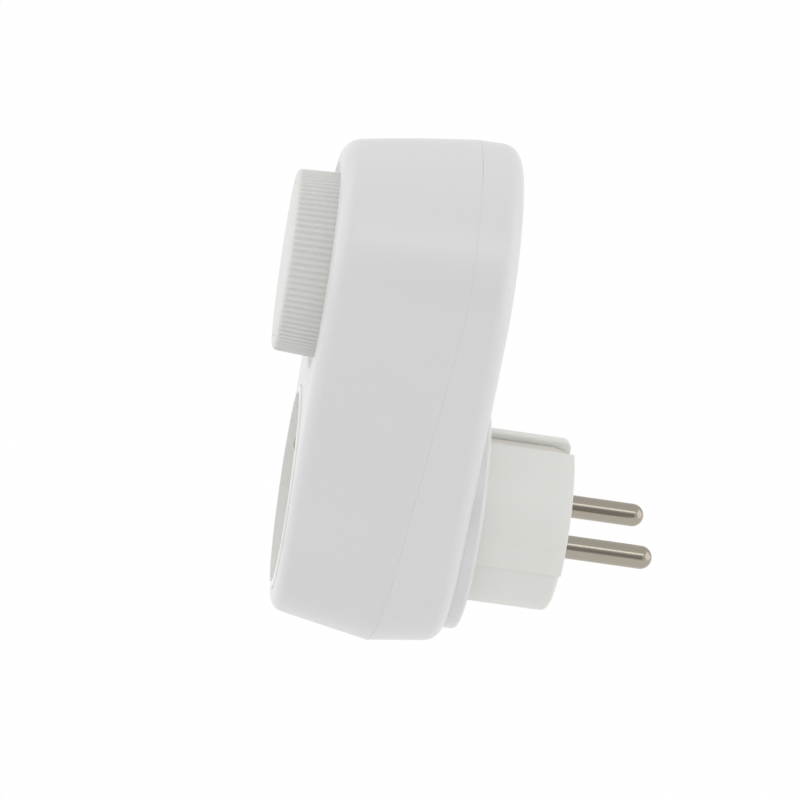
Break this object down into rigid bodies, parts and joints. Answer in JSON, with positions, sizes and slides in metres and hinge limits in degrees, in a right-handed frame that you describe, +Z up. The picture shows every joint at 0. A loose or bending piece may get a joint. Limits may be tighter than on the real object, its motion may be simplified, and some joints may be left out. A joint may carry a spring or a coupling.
{
  "type": "plug-in dimmer socket",
  "caption": "Plug-in rotary dimmer with a knurled knob above a recessed earthed socket and a round earthed plug on its back.",
  "frame": {"origin": "centre of the plug's end face, on the plug's axis", "axes": "+Y along the plug's axis into the wall, +Z up from the plug to the knob, +X right seen from the front"},
  "size_m": [0.0584, 0.0839, 0.1077],
  "materials": {
    "abs_front": "satin",
    "abs_rear": "satin",
    "abs_knob": "satin",
    "abs_knob_face": "gloss",
    "pc_insert": "satin",
    "pa_plug": "satin",
    "pa_inner": "matte",
    "nickel_brass": "polished",
    "bare_brass": "satin",
    "spring_steel": "satin",
    "zinc_steel": "satin",
    "aluminium": "matte",
    "epoxy_board": "satin",
    "black_epoxy": "matte",
    "ferrite": "matte",
    "enamel_copper": "gloss",
    "film_case": "gloss",
    "film_red": "gloss",
    "resistor_body": "satin",
    "fuse_glass": "clear",
    "pvc_brown": "satin",
    "pvc_blue": "satin"
  },
  "bodies": {
    "housing": {"front_shell": "abs_front", "rear_shell": "abs_rear", "housing_screws": "zinc_steel", "plug_body": "pa_plug", "plug_pin_live": "nickel_brass", "plug_pin_neutral": "nickel_brass", "earth_strap": "bare_brass", "earth_clip_upper": "nickel_brass", "earth_clip_lower": "nickel_brass", "plug_earth_contact": "nickel_brass", "socket_insert": "pc_insert", "socket_earth_pin": "nickel_brass", "shutter_spring": "spring_steel", "contact_carrier": "pa_inner", "contact_housing": "pc_insert", "live_contact": "bare_brass", "neutral_contact": "bare_brass", "potentiometer_bushing": "zinc_steel", "potentiometer_can": "zinc_steel", "mains_switch": "black_epoxy", "potentiometer_washer": "zinc_steel", "potentiometer_nut": "zinc_steel", "circuit_board": "epoxy_board", "triac": "black_epoxy", "heat_sink": "aluminium", "choke_core": "ferrite", "choke_winding": "enamel_copper", "suppression_capacitor": "film_case", "timing_capacitor": "film_red", "resistors": "resistor_body", "diac": "fuse_glass", "fuse": "fuse_glass", "fuse_clips": "bare_brass", "supply_wire": "pvc_brown", "load_wire": "pvc_brown", "neutral_wire": "pvc_blue", "neutral_link": "pvc_blue"},
    "knob": {"knob": "abs_knob", "knob_face": "abs_knob_face", "potentiometer_shaft": "pa_inner"},
    "shutter": {"shutter": "pa_inner"}
  },
  "joints": [
    {"name": "knob_turn", "type": "hinge", "parent": "housing", "child": "knob", "pos_m": [0, -0.0567, 0.0498], "axis": [0, 1, 0], "range_deg": [0, 270]},
    {"name": "shutter_slide", "type": "slide", "parent": "housing", "child": "shutter", "axis": [0, 0, -1], "range_m": [0, 0.0066], "stiffness_N_per_m": 150, "springref_m": -0.002, "deforming": ["shutter_spring"]}
  ]
}
